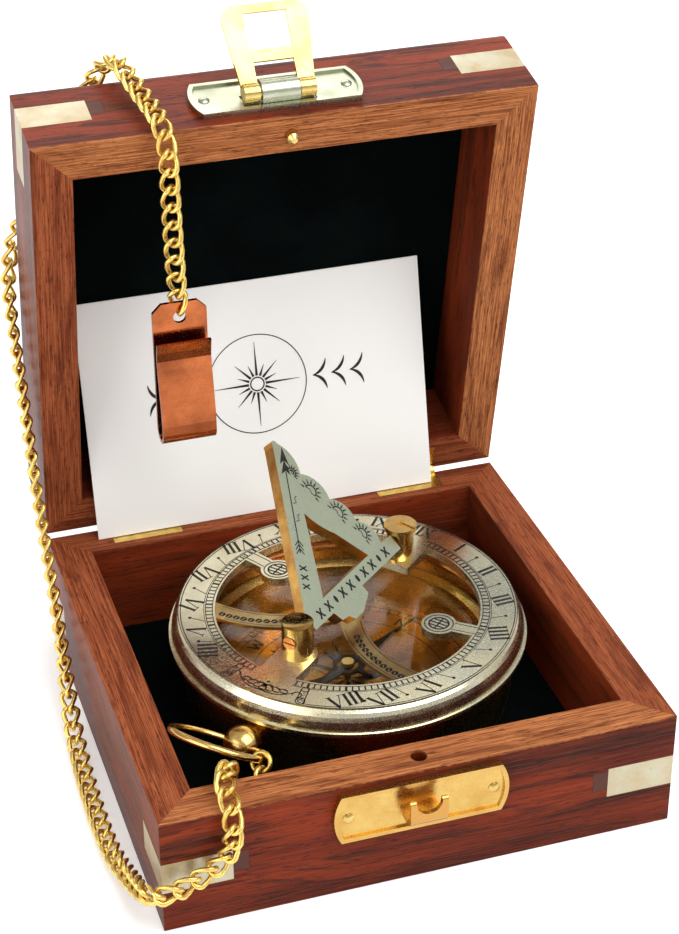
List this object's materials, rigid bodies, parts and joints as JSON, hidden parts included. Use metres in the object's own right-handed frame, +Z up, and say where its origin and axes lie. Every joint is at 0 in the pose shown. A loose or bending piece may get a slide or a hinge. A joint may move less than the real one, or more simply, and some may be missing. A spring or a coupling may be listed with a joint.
{
  "type": "sundial compass",
  "caption": "Folding sundial compass with a hinged gnomon, in a latched hardwood box with a chain and belt clip.",
  "frame": {"origin": "centre of the underside of the box's lower half", "axes": "+Z up, +X to the right along the lid's hinge, +Y from the catch towards the hinge"},
  "size_m": [0.1089, 0.1247, 0.1407],
  "materials": {
    "wood": "reddish brown hardwood, satin outside and rougher at the rims",
    "dark_wood": "dark hardwood",
    "velvet": "short dark green pile",
    "pale_brass": "pale silvery brass, satin",
    "gold_brass": "bright yellow brass, polished",
    "brass": "polished brass",
    "copper_brass": "brown coppery brass, polished",
    "steel": "blued steel",
    "glass": "clear, flat",
    "card": "matt white paper card"
  },
  "bodies": {
    "box_base": {"base_front_wall": "wood", "base_back_wall": "wood", "base_left_wall": "wood", "base_right_wall": "wood", "base_bottom_board": "dark_wood", "base_lining": "velvet", "base_corner_inlays": "pale_brass", "base_corner_plugs": "dark_wood", "catch_plate": "gold_brass", "catch_nails": "gold_brass", "hinge_base_leaves": "brass", "hinge_pins": "copper_brass", "hinge_base_screws": "brass", "chain_front": "gold_brass", "chain_side": "gold_brass"},
    "lid": {"lid_front_wall": "wood", "lid_back_wall": "wood", "lid_left_wall": "wood", "lid_right_wall": "wood", "lid_top_board": "wood", "lid_lining": "velvet", "lid_corner_inlays": "pale_brass", "lid_corner_plugs": "dark_wood", "locating_pin": "brass", "hasp_plate": "pale_brass", "hasp_nails": "pale_brass", "hinge_lid_leaves": "brass", "hinge_lid_screws": "brass", "card": "card", "chain_lid": "gold_brass", "belt_clip": "copper_brass"},
    "hasp": {"hasp_flap": "gold_brass", "hasp_pin": "gold_brass"},
    "compass": {"compass_case": "brass", "inner_sleeve": "brass", "compass_card": "pale_brass", "needle_pivot": "steel", "glass": "glass", "bezel_ring": "copper_brass", "dial_ring": "pale_brass", "dial_arms": "brass", "near_post": "brass", "far_post": "brass", "post_screws": "steel", "pivot_screws": "copper_brass", "crown_stem": "brass", "crown_ball": "brass"},
    "compass_needle": {"needle": "steel", "needle_cap": "brass"},
    "gnomon_plate": {"gnomon": "pale_brass"},
    "bow_ring": {"bow": "gold_brass", "jump_ring": "gold_brass"}
  },
  "joints": [
    {"name": "lid_hinge", "type": "hinge", "parent": "box_base", "child": "lid", "pos_m": [0, 0.05017, 0.0254], "axis": [-1, 0, 0], "range_deg": [-78.9, 16], "deforming": ["chain_side", "chain_lid", "belt_clip", "card"]},
    {"name": "hasp_hinge", "type": "hinge", "parent": "lid", "child": "hasp", "pos_m": [-0.001, 0.03643, 0.12662], "axis": [-1, 0, 0], "range_deg": [-140, 28]},
    {"name": "compass_lift", "type": "slide", "parent": "box_base", "child": "compass", "axis": [0, 0, 1], "range_m": [0, 0.03], "deforming": ["chain_front"]},
    {"name": "needle_spin", "type": "hinge", "parent": "compass", "child": "compass_needle", "pos_m": [0.0022, 0.0041, 0.012], "axis": [0, 0, 1], "continuous": true},
    {"name": "bow_swing", "type": "hinge", "parent": "compass", "child": "bow_ring", "pos_m": [-0.02761, -0.02136, 0.0168], "axis": [-0.6494, 0.7604, 0], "range_deg": [0, 70]},
    {"name": "gnomon_fold", "type": "hinge", "parent": "compass", "child": "gnomon_plate", "pos_m": [-0.01238, -0.0087, 0.0308], "axis": [0.7513, 0.66, 0], "range_deg": [-45, 9.2]}
  ],
  "couplings": [
    {"joint": "gnomon_fold", "follows": "lid_hinge", "ratio": 0.57}
  ]
}
